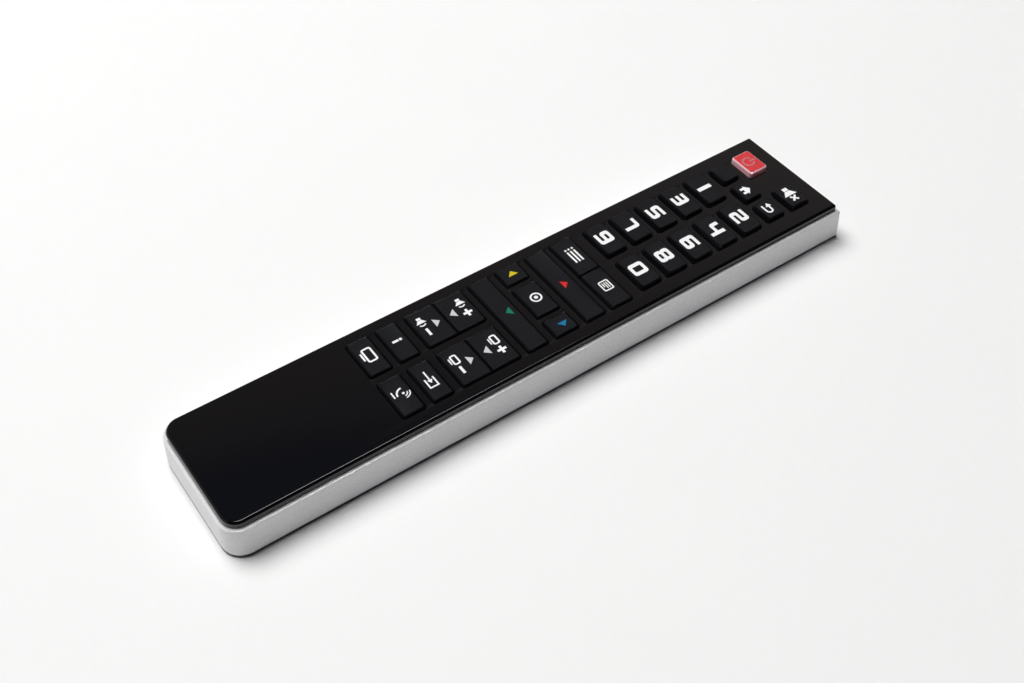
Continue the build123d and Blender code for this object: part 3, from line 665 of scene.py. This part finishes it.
def coverShell():
    v = coverRounding
    low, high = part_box("rear_cover")
    mesh = mergedCopy("rear_cover")
    roundEdges(mesh, v["foot"], v["footSegments"],
               lambda edge: not isUpright(edge) and middleOf(edge).z < low.z + v["footHeight"]
               and isWithin(edge, low, high, v["band"]))
    return mesh


def doorShell():
    v = coverRounding
    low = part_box("battery_door")[0]
    mesh = mergedCopy("battery_door")
    roundEdges(mesh, v["door"], v["doorSegments"],
               lambda edge: not isUpright(edge) and middleOf(edge).z < low.z + v["footHeight"])
    return mesh


shells = {
    "rear_cover": ("coverShell", coverShell, "cover_black"),
    "battery_door": ("doorShell", doorShell, "door_black"),
    "faceplate": ("plateSkin", plateSkin, "faceplate_gloss"),
    "silver_frame": ("frameShell", frameShell, "silver_paint"),
}
for nodeName, (pieceName, shape, slotName) in shells.items():
    finishPiece(shape(), pieceName, bodyOf[nodeName], finishes[nodeName], nodeName)
print("rounded the housing")


# Legends: thin prints on the key tops, drawn in millimetres

inks = {"white": inkMaterial("inkWhite", (0.90, 0.90, 0.90)),
        "grey": inkMaterial("inkGrey", (0.60, 0.60, 0.61)),
        "yellow": inkMaterial("inkYellow", (0.62, 0.50, 0.015)),
        "blue": inkMaterial("inkBlue", (0.008, 0.145, 0.29)),
        "red": inkMaterial("inkRed", (0.60, 0.026, 0.022)),
        "green": inkMaterial("inkGreen", (0.006, 0.16, 0.085)),
        "rose": inkMaterial("inkRose", (0.46, 0.20, 0.21)),
        "faint": inkMaterial("inkFaint", (0.075, 0.075, 0.078))}
printValues = {"thickness": 0.03 * mm, "sink": 0.008 * mm, "weld": 0.001, "snap": 0.01}


def keyTop(keyName):
    # middle of the key's flat top
    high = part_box(keyName)[1].z
    points = [vertex.co for vertex in nodes[keyName].data.vertices if vertex.co.z > high - weldDistance]
    xs = [point.x for point in points]
    ys = [point.y for point in points]
    return Vector(((min(xs) + max(xs)) / 2, (min(ys) + max(ys)) / 2, high))


def addBar(mesh, low, high):
    centre = Vector(((low[0] + high[0]) / 2, (low[1] + high[1]) / 2, 0))
    size = Matrix.Diagonal(((high[0] - low[0]) / 2, (high[1] - low[1]) / 2, 1, 1))
    return bmesh.ops.create_grid(mesh, x_segments=1, y_segments=1, size=1,
                                 matrix=Matrix.Translation(centre) @ size)["verts"]


def addShape(mesh, points):
    corners = [mesh.verts.new((x, y, 0)) for x, y in points]
    mesh.faces.new(corners)
    return corners


def addDisc(mesh, centre, radius, segments=28):
    bmesh.ops.create_circle(mesh, cap_ends=True, segments=segments, radius=radius,
                            matrix=Matrix.Translation((*centre, 0)))


def addArc(mesh, centre, inner, outer, start, sweep, steps):
    # a flat band spun about its centre, angles in degrees from +X
    turn = Matrix.Rotation(math.radians(start), 4, "Z")
    middle = Vector((*centre, 0))
    ends = [mesh.verts.new(middle + turn @ Vector((radius, 0, 0))) for radius in (inner, outer)]
    edge = mesh.edges.new(ends)
    bmesh.ops.spin(mesh, geom=[*ends, edge], cent=middle, axis=(0, 0, 1), angle=math.radians(sweep),
                   steps=steps, use_merge=abs(sweep) >= 360, use_duplicate=False)


def roundCorners(mesh, corners, radius, segments=4):
    bmesh.ops.bevel(mesh, geom=corners, offset=radius, offset_type="OFFSET", segments=segments, profile=0.5,
                    affect="VERTICES", material=-1, clamp_overlap=True)


def addOutline(mesh, low, high, stroke, corner):
    # the outline of a bar with round corners
    middle = Vector(((low[0] + high[0]) / 2, (low[1] + high[1]) / 2, 0))
    roundCorners(mesh, addBar(mesh, low, high), corner)
    face = next(face for face in mesh.faces
                if (face.calc_center_median() - middle).length < printValues["snap"])
    bmesh.ops.inset_individual(mesh, faces=[face], thickness=stroke, use_even_offset=True)
    bmesh.ops.delete(mesh, geom=[face], context="FACES_ONLY")


def layPrint(mesh, name, body, ink, x, y, lowest):
    # thickens the flat shape upwards from its lowest level
    place = Matrix.Translation((x, y, lowest))
    bmesh.ops.remove_doubles(mesh, verts=mesh.verts, dist=printValues["weld"])
    bmesh.ops.transform(mesh, matrix=place @ Matrix.Diagonal((mm, mm, mm, 1)), verts=mesh.verts)
    bmesh.ops.recalc_face_normals(mesh, faces=mesh.faces)
    for face in mesh.faces:
        if face.normal.z < 0:
            face.normal_flip()
    bmesh.ops.solidify(mesh, geom=mesh.faces[:], thickness=printValues["thickness"])
    bmesh.ops.recalc_face_normals(mesh, faces=mesh.faces)
    shift = lowest - min(vertex.co.z for vertex in mesh.verts)
    bmesh.ops.translate(mesh, vec=(0, 0, shift), verts=mesh.verts)
    finishPiece(mesh, name, body, inks[ink], levelNormals=False)


def printPiece(mesh, name, keyName, ink, offset):
    top = keyTop(keyName)
    layPrint(mesh, name, bodyOf[keyName], ink, top.x + offset[0] * mm, top.y + offset[1] * mm,
             top.z - printValues["sink"])


# width and stem fit most digits; the narrow ones have a slimmer left column
digitValues = {"width": 5.15, "height": 5.2, "stem": 1.42, "bar": 1.1, "narrowWidth": 4.3, "narrowStem": 0.9,
               "oneWidth": 1.6, "notch": 0.36, "turn": 1.05, "turnSegments": 6, "end": 0.12,
               "endSegments": 2, "inner": 0.3, "innerSegments": 3, "shift": (-0.33, 0.05)}
narrowDigits = (3, 7)
digitRows = {
    0: ("###", "#.#", "#.#", "#.#", "###"),
    2: ("###", "..#", "###", "#..", "###"),
    3: ("###", "..#", "###", "..#", "###"),
    4: ("#.#", "#.#", "###", "..#", "..#"),
    5: ("###", "#..", "###", "..#", "###"),
    6: ("###", "#..", "###", "#.#", "###"),
    7: ("###", "..#", "..#", "..#", "..#"),
    8: ("###", "#.#", "###", "#.#", "###"),
    9: ("###", "#.#", "###", "..#", "###"),
}


def digitOne():
    v = digitValues
    mesh = bmesh.new()
    across, along = v["oneWidth"] / 2, v["height"] / 2
    roundCorners(mesh, addBar(mesh, (-across, -along), (across, along)), v["end"])
    return mesh


def notchWaist(mesh, width):
    # draws the sides in between the two loops
    sides = [edge for edge in mesh.edges if abs(middleOf(edge).x) > width / 2 - printValues["snap"]
             and abs(middleOf(edge).y) < printValues["snap"]]
    for cut in bmesh.ops.subdivide_edges(mesh, edges=sides, cuts=1)["geom_inner"]:
        if isinstance(cut, bmesh.types.BMVert):
            cut.co.x *= 1 - digitValues["notch"] / (width / 2)


def roundDigit(mesh):
    # outer turns, stroke ends and inner corners each have their own radius
    v = digitValues
    corners = {"turn": [], "end": [], "inner": []}
    for vertex in mesh.verts:
        if len(vertex.link_faces) == 1:
            others = [edge for edge in vertex.link_faces[0].edges if vertex not in edge.verts]
            joined = sum(len(edge.link_faces) == 2 for edge in others)
            corners["turn" if joined == 2 else "end"].append(vertex)
        elif len(vertex.link_faces) == 3:
            corners["inner"].append(vertex)
    for kind, found in corners.items():
        left = [vertex for vertex in found if vertex.is_valid]
        roundCorners(mesh, left, v[kind], v[kind + "Segments"])


def digitShape(digit):
    # a grid of 3 by 5 cells with the empty ones taken out, and round turns
    v = digitValues
    if digit == 1:
        return digitOne()
    mesh = bmesh.new()
    width = v["narrowWidth"] if digit in narrowDigits else v["width"]
    leftStem = v["narrowStem"] if digit in narrowDigits else v["stem"]
    columns = (-width / 2, -width / 2 + leftStem, width / 2 - v["stem"], width / 2)
    half, bar = v["height"] / 2, v["bar"]
    rows = (-half, -half + bar, -bar / 2, bar / 2, half - bar, half)
    bmesh.ops.create_grid(mesh, x_segments=3, y_segments=5, size=1)
    for vertex in mesh.verts:
        column = round((vertex.co.x + 1) / 2 * 3)
        row = round((vertex.co.y + 1) / 2 * 5)
        vertex.co = (columns[column], rows[row], 0)
    empty = []
    for face in mesh.faces:
        middle = face.calc_center_median()
        column = sum(middle.x > line for line in columns[1:3])
        row = 4 - sum(middle.y > line for line in rows[1:5])
        if digitRows[digit][row][column] == ".":
            empty.append(face)
    bmesh.ops.delete(mesh, geom=empty, context="FACES")
    if digit == 8:
        notchWaist(mesh, width)
    roundDigit(mesh)
    return mesh


for digit in range(10):
    printPiece(digitShape(digit), f"printDigit{digit}", f"key_{digit}", "white", digitValues["shift"])
print("printed the digits")


triangleValues = {"width": 3.5, "height": 2.0, "corner": 0.1, "cornerSegments": 3}


def triangleShape(angle):
    # apex towards +Y, then turned by the angle in degrees
    v = triangleValues
    mesh = bmesh.new()
    across, along = v["width"] / 2, v["height"] / 2
    corners = addShape(mesh, [(-across, -along), (across, -along), (0, along)])
    roundCorners(mesh, corners, v["corner"], v["cornerSegments"])
    turn = Matrix.Rotation(math.radians(angle), 3, "Z")
    bmesh.ops.rotate(mesh, cent=(0, 0, 0), matrix=turn, verts=mesh.verts)
    return mesh


doorMark = {"place": (0.0, -90.5 * mm), "size": 1.6}


def addDoorMark():
    # a plain arrow on the door's underside points the way it slides
    mesh = triangleShape(180)
    bmesh.ops.scale(mesh, vec=(doorMark["size"], doorMark["size"], 1), verts=mesh.verts)
    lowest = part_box("battery_door")[0].z + printValues["sink"] - printValues["thickness"]
    layPrint(mesh, "doorArrow", bodyOf["battery_door"], "faint", *doorMark["place"], lowest)


addDoorMark()

# ink, angle and shift of the triangle on each cursor key
cursorMarks = {
    "key_up": ("red", 0, (0, 0.4)),
    "key_down": ("green", 180, (-0.2, 0.68)),
    "key_left": ("yellow", 90, (-0.35, 0.2)),
    "key_right": ("blue", -90, (0.5, 0.73)),
}
for keyName, (ink, angle, shift) in cursorMarks.items():
    printPiece(triangleShape(angle), "printCursor" + ink.capitalize(), keyName, ink, shift)


# A drawing is made of outlines (two corners, stroke, corner radius), bars (two corners, and for tilted ones
# angle and place), shapes (points), arcs (centre, two radii, start, sweep, steps) and discs (centre, radius).

softCorner = {"radius": 0.1, "segments": 2}


def addDrawing(mesh, drawing, shift=(0, 0)):
    known = set(mesh.verts)
    for outline in drawing.get("outlines", ()):
        addOutline(mesh, *outline)
    for low, high in drawing.get("bars", ()):
        addBar(mesh, low, high)
    for low, high in drawing.get("softBars", ()):
        roundCorners(mesh, addBar(mesh, low, high), softCorner["radius"], softCorner["segments"])
    for low, high, angle, place in drawing.get("tiltedBars", ()):
        bar = addBar(mesh, low, high)
        bmesh.ops.rotate(mesh, cent=(0, 0, 0), matrix=Matrix.Rotation(math.radians(angle), 3, "Z"), verts=bar)
        bmesh.ops.translate(mesh, vec=place, verts=bar)
    for points in drawing.get("shapes", ()):
        addShape(mesh, points)
    for arc in drawing.get("arcs", ()):
        addArc(mesh, *arc)
    for disc in drawing.get("discs", ()):
        addDisc(mesh, *disc)
    fresh = [vertex for vertex in mesh.verts if vertex not in known]
    bmesh.ops.translate(mesh, vec=(*shift, 0), verts=fresh)


rockerValues = {"arrowShift": 2.25, "markShift": (-2.4, 0), "signShift": (2.3, 0), "legendShift": (-0.3, 1.9)}
rockerMarks = {
    "volume": {  # a loudspeaker
        "bars": [((-1.8, -0.7), (-0.8, 0.7))],
        "shapes": [[(-0.65, -0.7), (0.65, -1.7), (0.65, 1.7), (-0.65, 0.7)]],
        "arcs": [((0.5, 0), 1.05, 1.5, -50, 100, 10)]},
    "channel": {  # a screen on its foot
        "bars": [((-0.9, -1.6), (1.5, -1.2))],
        "outlines": [((-1.65, -0.9), (2.25, 1.4), 0.55, 0.715)]},
}
signs = {
    "up": {"shapes": [[(-1.5, -0.425), (-0.425, -0.425), (-0.425, -1.5), (0.425, -1.5), (0.425, -0.425),
                       (1.5, -0.425), (1.5, 0.425), (0.425, 0.425), (0.425, 1.5), (-0.425, 1.5),
                       (-0.425, 0.425), (-1.5, 0.425)]]},
    "down": {"bars": [((-1.5, -0.425), (1.5, 0.425))]},
}
v = rockerValues
for line, mark in rockerMarks.items():
    for way, sign in signs.items():
        side = 1 if way == "up" else -1
        keyName = f"key_{line}_{way}"
        title = line.capitalize() + way.capitalize()
        legend = bmesh.new()
        addDrawing(legend, mark, v["markShift"])
        addDrawing(legend, sign, v["signShift"])
        legendShift = (v["legendShift"][0], side * v["legendShift"][1])
        printPiece(legend, "print" + title, keyName, "white", legendShift)
        arrow = triangleShape(180 if way == "up" else 0)
        printPiece(arrow, "printArrow" + title, keyName, "grey", (0, -side * v["arrowShift"]))
print("printed the cursor and rocker marks")


symbols = {
    "key_power": {
        "ink": "rose", "shift": (-0.2, -0.3),
        "bars": [((-0.27, 0.35), (0.27, 3.0))],
        "arcs": [((0, 0), 1.62, 2.15, 118, 304, 40)]},
    "key_mute": {  # a loudspeaker with a cross
        "ink": "white", "shift": (-0.3, 0.1),
        "bars": [((-3.2, -0.95), (-1.75, 0.95))],
        "shapes": [[(-1.55, -1.0), (0.55, -2.5), (0.55, 2.5), (-1.55, 1.0)]],
        "tiltedBars": [((-1.5, -0.36), (1.5, 0.36), 45, (2.15, 0, 0.002)),
                       ((-1.5, -0.36), (1.5, 0.36), -45, (2.15, 0, 0))]},
    "key_home": {  # a house
        "ink": "white", "shift": (-0.1, -0.1),
        "shapes": [[(-2.1, 0.05), (-1.45, 0.05), (-1.45, -1.6), (-0.5, -1.6), (-0.5, -0.55), (0.5, -0.55),
                    (0.5, -1.6), (1.45, -1.6), (1.45, 0.05), (2.1, 0.05), (0, 1.8)]]},
    "key_exit": {  # an arrow that turns back
        "ink": "white", "shift": (0, -0.1),
        "bars": [((-2.2, -1.5), (0.6, -0.9)), ((-0.9, 0.6), (0.6, 1.2))],
        "shapes": [[(-0.85, -0.2), (-0.85, 2.0), (-2.5, 0.9)]],
        "arcs": [((0.6, -0.15), 0.75, 1.35, -90, 180, 14)]},
    "key_guide": {  # three entries of a list
        "ink": "white", "shift": (-0.4, 0.3),
        "bars": [bar for level in (-1.25, 0, 1.25)
                 for bar in (((-3.2, level - 0.32), (-2.5, level + 0.32)),
                             ((-1.9, level - 0.3), (3.4, level + 0.3)))]},
    "key_text": {  # a page of lines
        "ink": "white", "shift": (-0.4, 0.3),
        "bars": [((-1.3, level - 0.17), (reach, level + 0.17))
                 for level, reach in ((0.72, 1.3), (0, 1.3), (-0.72, 0.5))],
        "outlines": [((-2.2, -1.8), (2.2, 1.8), 0.45, 0.585)]},
    "key_ok": {
        "ink": "white", "shift": (-0.35, 0.3),
        "arcs": [((0, 0), 1.4, 1.95, 0, 360, 40)],
        "discs": [((0, 0), 0.65)]},
    "key_info": {
        "ink": "white", "shift": (-0.35, 0),
        "softBars": [((-0.42, -1.45), (0.42, 0.6))],
        "discs": [((0, 1.3), 0.5)]},
    "key_source": {  # an arrow into a box that is open on its left
        "ink": "white", "shift": (-0.3, -0.1),
        "shapes": [[(-0.6, -1.6), (3.2, -1.6), (3.2, 1.6), (-0.6, 1.6), (-0.6, 1.1), (2.7, 1.1), (2.7, -1.1),
                    (-0.6, -1.1)],
                   [(-3.4, -0.25), (0.1, -0.25), (0.1, -0.85), (1.5, 0), (0.1, 0.85), (0.1, 0.25),
                    (-3.4, 0.25)]]},
    "key_television": {  # a screen on its foot
        "ink": "white", "shift": (-0.3, 0),
        "bars": [((-1.6, -2.1), (1.6, -1.55))],
        "outlines": [((-2.9, -1.25), (2.9, 2.05), 0.6, 0.78)]},
    "key_satellite": {  # a dish on its foot, with two waves
        "ink": "white", "shift": (-0.4, 0.3),
        "bars": [((-1.9, -2.6), (0.6, -2.15))],
        "arcs": [((0.4, 0.9), 2.0, 2.55, 180, 90, 14), ((0.1, 0.6), 1.0, 1.35, 0, 90, 10),
                 ((0.1, 0.6), 1.8, 2.15, 0, 90, 12)],
        "discs": [((0.1, 0.6), 0.42)]},
}
for keyName, drawing in symbols.items():
    symbol = bmesh.new()
    addDrawing(symbol, drawing)
    title = keyName.split("_")[1].capitalize()
    printPiece(symbol, "print" + title, keyName, drawing["ink"], drawing["shift"])
print("printed the other symbols")


# Floor, light and camera

stageValues = {"floor": 3.0, "floorDark": (0.86, 0.86, 0.855), "floorLight": (0.8772, 0.8772, 0.8721),
               "floorCloud": 60 * mm, "floorRough": 0.7, "floorGloss": 0.2, "sky": (0.07, 0.07, 0.07),
               "backdrop": (0.93, 0.93, 0.93)}


def floorMaterial():
    v = stageValues
    material, tree, shader = startMaterial("paleFloor", v["floorDark"], v["floorRough"])
    shader.inputs["Specular IOR Level"].default_value = v["floorGloss"]
    clouds = noiseOn(tree, v["floorCloud"])
    tree.links.new(mixColours(tree, clouds, v["floorDark"], v["floorLight"]), shader.inputs["Base Color"])
    return material


def addFloor():
    mesh = bmesh.new()
    bmesh.ops.create_grid(mesh, x_segments=1, y_segments=1, size=stageValues["floor"])
    data = bpy.data.meshes.new("floor")
    mesh.to_mesh(data)
    mesh.free()
    data.materials.append(floorMaterial())
    floor = bpy.data.objects.new("floor", data)
    bpy.context.scene.collection.objects.link(floor)


addFloor()

# what glossy surfaces see, by the sine of the height above the floor; it fades out behind the camera
roomBands = [(0.0, (0.85, 0.84, 0.84)), (0.3, (0.31, 0.28, 0.27)), (0.62, (0.32, 0.29, 0.28)),
             (0.72, (0.22, 0.20, 0.20)), (0.765, (0.17, 0.155, 0.165)), (0.79, (0.09, 0.10, 0.14)),
             (1.0, (0.09, 0.10, 0.14))]
roomFade = {"dark": (0.028, 0.030, 0.034), "low": -0.1, "high": 0.35}
# a bright panel that only glossy edges catch, beside the zenith so that the flat top stays black
edgeGlint = {"colour": (16.0, 16.0, 16.3), "side": (0.17, 0.22), "rise": (0.86, 0.89)}


def buildWorld():
    # soft even sky; glossy surfaces see a room that is darker above 50 degrees
    v = stageValues
    world = bpy.data.worlds.new("studio")
    bpy.context.scene.world = world
    world.use_nodes = True
    tree = world.node_tree
    place = tree.nodes.new("ShaderNodeTexCoord")
    split = tree.nodes.new("ShaderNodeSeparateXYZ")
    tree.links.new(place.outputs["Generated"], split.inputs["Vector"])
    bands = tree.nodes.new("ShaderNodeValToRGB")
    ramp = bands.color_ramp
    while len(ramp.elements) < len(roomBands):
        ramp.elements.new(0.5)
    for element, (level, colour) in zip(ramp.elements, roomBands):
        element.position = level
        element.color = (*colour, 1)
    tree.links.new(split.outputs["Z"], bands.inputs["Fac"])
    behind = remap(tree, split.outputs["X"], 0, 1, roomFade["low"], roomFade["high"])
    walls = mixColours(tree, behind, bands.outputs["Color"], roomFade["dark"])
    beside = remap(tree, split.outputs["X"], 0, 1, *edgeGlint["side"])
    above = remap(tree, split.outputs["Z"], 0, 1, *edgeGlint["rise"])
    glint = maths(tree, "MULTIPLY", beside, above)
    room = mixColours(tree, glint, walls, edgeGlint["colour"])
    rays = tree.nodes.new("ShaderNodeLightPath")
    lit = mixColours(tree, rays.outputs["Is Glossy Ray"], v["sky"], room)
    seen = mixColours(tree, rays.outputs["Is Camera Ray"], lit, v["backdrop"])
    tree.links.new(seen, tree.nodes["Background"].inputs["Color"])


buildWorld()

lampValues = {"place": (-0.9, -0.35, 2.2), "size": 1.8, "power": 71.0}


def addLamp():
    v = lampValues
    data = bpy.data.lights.new("overheadSoft", "AREA")
    data.shape = "DISK"
    data.size = v["size"]
    data.energy = v["power"]
    lamp = bpy.data.objects.new("overheadSoft", data)
    lamp.location = v["place"]
    lamp.rotation_euler = (-Vector(v["place"])).to_track_quat("-Z", "Y").to_euler()
    lamp.visible_glossy = False
    bpy.context.scene.collection.objects.link(lamp)


addLamp()

cameraValues = {"place": (0.21760, -0.15437, 0.29416), "aim": (0.009716, -0.011280, 0.0139), "lens": 44.94,
                "sensor": 36, "roll": -0.3796, "clipStart": 0.01}


def addCamera():
    v = cameraValues
    data = bpy.data.cameras.new("camera")
    data.lens = v["lens"]
    data.sensor_width = v["sensor"]
    data.clip_start = v["clipStart"]
    camera = bpy.data.objects.new("camera", data)
    place = Vector(v["place"])
    look = (Vector(v["aim"]) - place).to_track_quat("-Z", "Y").to_matrix().to_4x4()
    roll = Matrix.Rotation(math.radians(v["roll"]), 4, "Z")
    camera.matrix_world = Matrix.Translation(place) @ look @ roll
    bpy.context.scene.collection.objects.link(camera)
    bpy.context.scene.camera = camera


addCamera()
bpy.context.scene.view_settings.view_transform = "Standard"
print("floor, light and camera are set")
